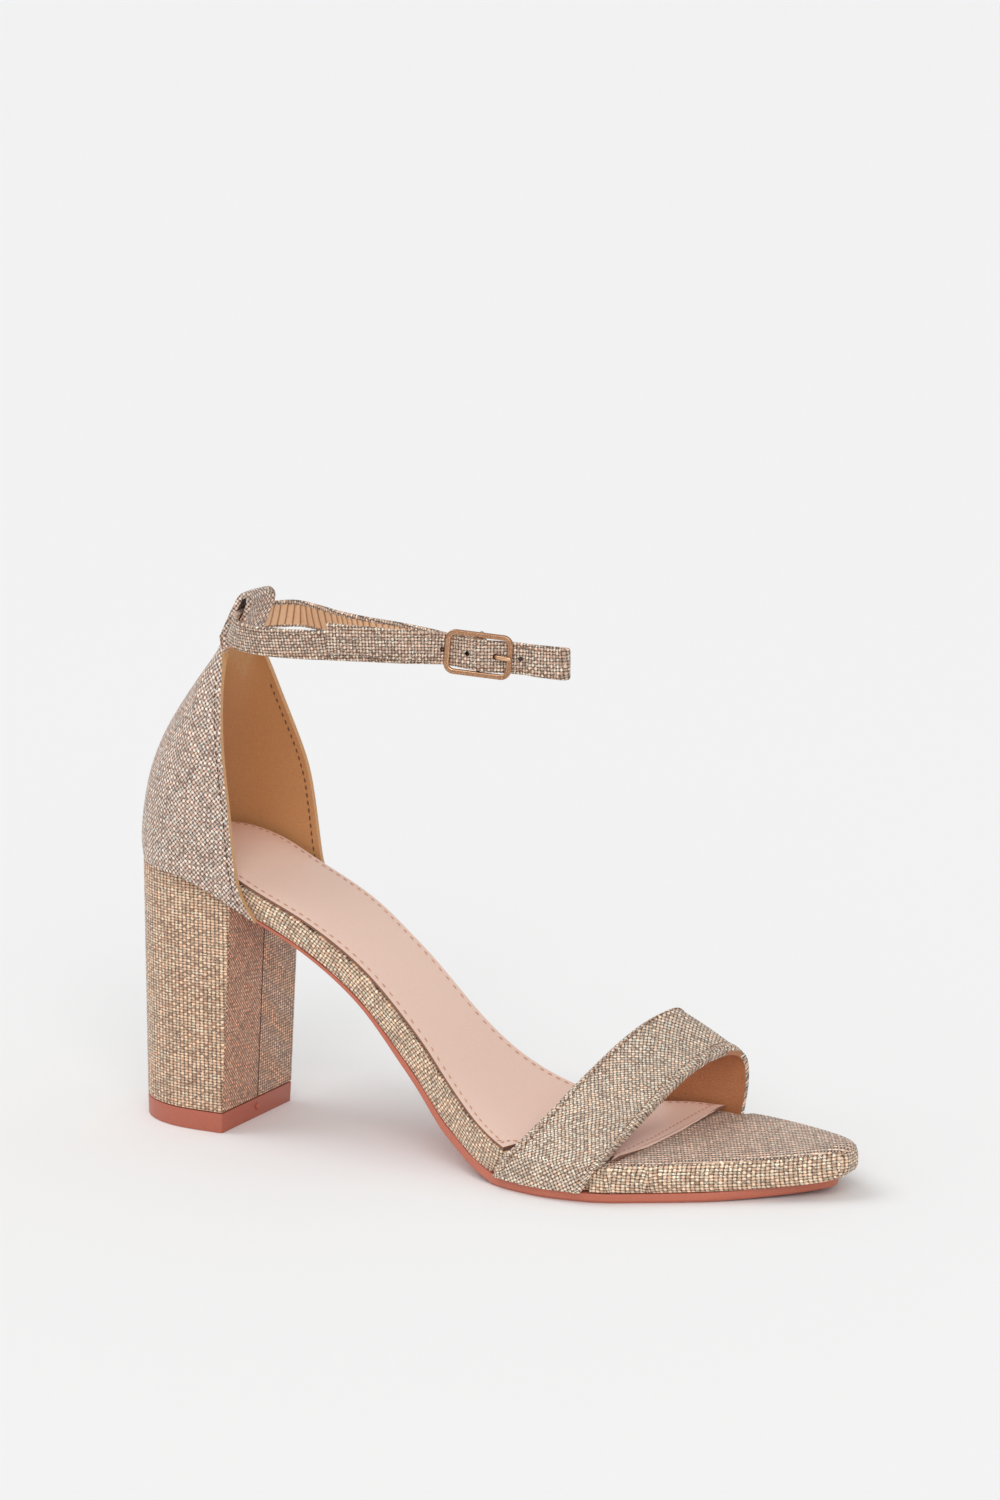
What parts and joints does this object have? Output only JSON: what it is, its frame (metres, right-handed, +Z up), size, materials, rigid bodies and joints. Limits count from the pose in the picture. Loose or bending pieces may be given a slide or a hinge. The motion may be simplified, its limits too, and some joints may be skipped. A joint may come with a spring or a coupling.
{
  "type": "heeled sandal",
  "caption": "Open-toe sandal for the right foot with a high block heel, wide forefoot strap, closed back and a buckled ankle strap, covered in woven fabric with metallic threads.",
  "frame": {"origin": "middle of the heel tip's floor face", "axes": "+X from the heel to the toe, +Y to the inner (medial) side of the right foot, +Z up"},
  "size_m": [0.2238, 0.0772, 0.159],
  "materials": {
    "lurex_fabric": "basket weave of beige-gold yarn with fine metallic threads",
    "sock_leather": "smooth, soft sheen",
    "sole_rubber": "moulded, satin",
    "buckle_metal": "antique rose gold, polished"
  },
  "bodies": {
    "root": {"outsole": "sole_rubber", "midsole": "lurex_fabric", "insole_sock": "sock_leather", "heel_block": "lurex_fabric", "heel_tip": "sole_rubber", "heel_counter": "lurex_fabric", "toe_strap": "lurex_fabric", "ankle_strap": "lurex_fabric", "buckle_frame": "buckle_metal", "buckle_prong": "buckle_metal"}
  },
  "joints": []
}
